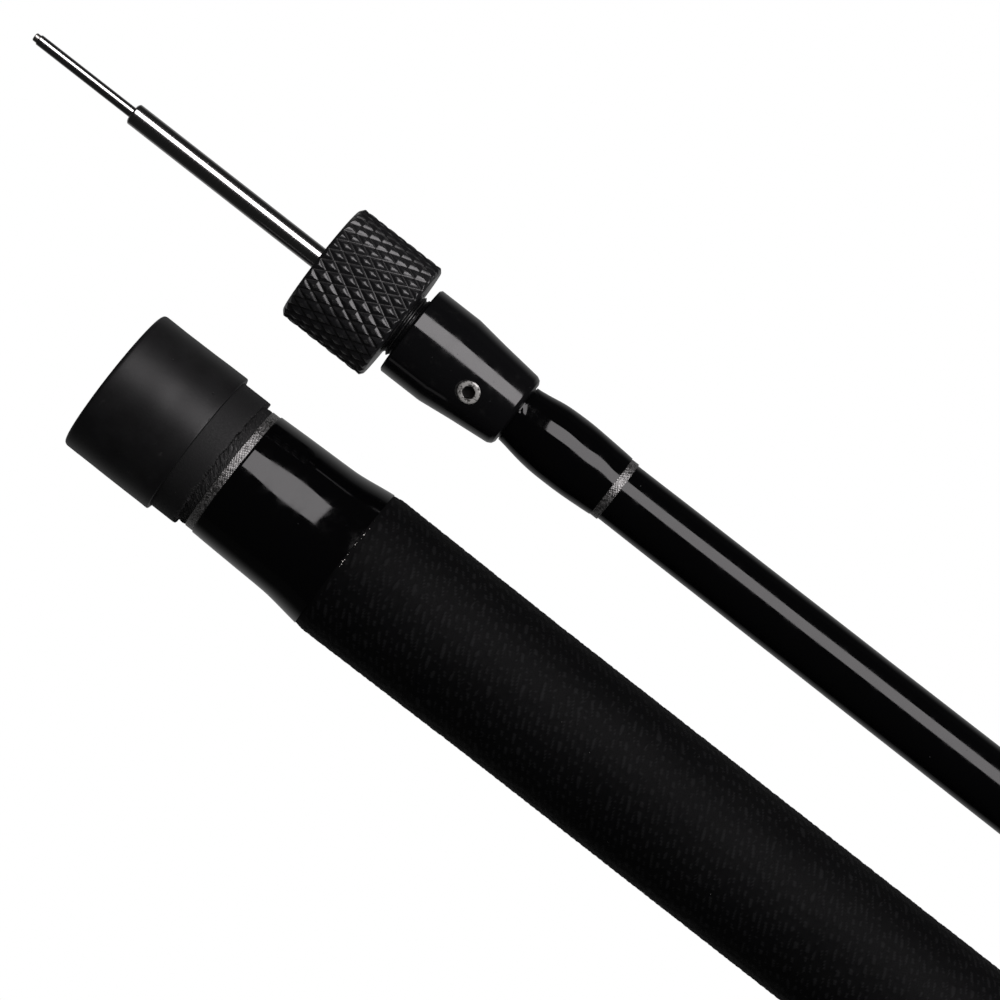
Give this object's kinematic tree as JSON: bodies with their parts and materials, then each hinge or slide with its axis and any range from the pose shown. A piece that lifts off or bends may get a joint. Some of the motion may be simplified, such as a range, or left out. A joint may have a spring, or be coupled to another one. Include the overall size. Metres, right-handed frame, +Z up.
{
  "type": "magnetic pickup tool",
  "caption": "Take-apart pole tool: gripped handle with butt cap, slim tapered tip section, and a knurled collet chuck holding a telescopic steel probe with a small tip magnet.",
  "frame": {"origin": "centre of the butt cap's flat end face, on the handle's axis", "axes": "+X along both sections away from the butt, +Y from the handle towards the tip section beside it, +Z up"},
  "size_m": [0.5347, 0.077, 0.0328],
  "materials": {
    "cap_rubber": "matte moulded rubber with fine pits and scuffs",
    "sleeve_rubber": "matte rubber with a torn edge and traces of glue",
    "trim_foil": "woven metallic thread under clear epoxy",
    "gloss_epoxy": "deep gloss epoxy over black winding",
    "fibre_tube": "semi-gloss black fibre tube",
    "foam": "closed-cell foam",
    "grip_rubber": "matte rubber with a fine slanted rib texture",
    "black_anodised": "satin black anodised",
    "gloss_shaft": "gloss black lacquer",
    "brass": "plain turned brass",
    "knurled_black": "satin black anodised with diamond knurl",
    "gloss_black_metal": "gloss black anodised",
    "thread_black": "black anodised thread",
    "worn_steel": "steel with worn black oxide",
    "spring_steel": "ground spring steel",
    "polished_steel": "polished stainless steel",
    "magnet_nickel": "nickel plated magnet"
  },
  "bodies": {
    "handle": {"butt_cap": "cap_rubber", "cap_sleeve": "sleeve_rubber", "butt_trim_band": "trim_foil", "butt_wrap": "gloss_epoxy", "handle_tube": "fibre_tube", "grip_underlay": "foam", "grip_sleeve": "grip_rubber", "front_wrap": "gloss_epoxy", "front_trim_band": "trim_foil", "joint_boss": "black_anodised"},
    "tip_section": {"shaft_tube": "gloss_shaft", "tail_wrap": "gloss_epoxy", "tail_trim_band": "trim_foil", "tail_flange": "black_anodised", "tip_wrap": "gloss_epoxy", "tip_trim_band": "trim_foil", "tip_ferrule": "gloss_black_metal", "chuck_body": "thread_black"},
    "slip_ring": {"union_slip_ring": "brass"},
    "union_nut": {"union_nut": "knurled_black"},
    "collet": {"collet": "spring_steel"},
    "knurled_nut": {"knurled_nut": "knurled_black"},
    "probe": {"probe_tube": "polished_steel", "probe_stop_collar": "spring_steel"},
    "pin": {"probe_pin": "polished_steel", "pin_bush": "brass", "tip_magnet": "magnet_nickel"},
    "grub_pad": {"grub_pad": "brass"},
    "grub_screw": {"grub_screw": "worn_steel"}
  },
  "joints": [
    {"name": "section_swing", "type": "hinge", "parent": "handle", "child": "tip_section", "pos_m": [0.4802, 0.0221, 0], "axis": [0, 0, -1], "range_deg": [0, 180]},
    {"name": "union_slide", "type": "slide", "parent": "tip_section", "child": "slip_ring", "axis": [1, 0, 0], "range_m": [0, 0.01]},
    {"name": "union_spin", "type": "hinge", "parent": "slip_ring", "child": "union_nut", "pos_m": [0.471, 0.0442, 0], "axis": [1, 0, 0], "continuous": true},
    {"name": "collet_slide", "type": "slide", "parent": "tip_section", "child": "collet", "axis": [-1, 0, 0], "range_m": [0, 0.0025]},
    {"name": "nut_spin", "type": "hinge", "parent": "collet", "child": "knurled_nut", "pos_m": [0.028, 0.0442, 0], "axis": [-1, 0, 0], "range_deg": [0, 900]},
    {"name": "probe_slide", "type": "slide", "parent": "tip_section", "child": "probe", "axis": [1, 0, 0], "range_m": [0, 0.044]},
    {"name": "pin_slide", "type": "slide", "parent": "probe", "child": "pin", "axis": [1, 0, 0], "range_m": [0, 0.022]},
    {"name": "pad_slide", "type": "slide", "parent": "tip_section", "child": "grub_pad", "axis": [0, -0.3173, 0.9483], "range_m": [0, 0.0014]},
    {"name": "grub_spin", "type": "hinge", "parent": "grub_pad", "child": "grub_screw", "pos_m": [0.0577, 0.0442, 0], "axis": [0, -0.3173, 0.9483], "range_deg": [0, 630]}
  ],
  "couplings": [
    {"joint": "collet_slide", "follows": "nut_spin", "m_per_rad": 0.00015915},
    {"joint": "grub_spin", "follows": "pad_slide", "rad_per_m": 7854}
  ]
}
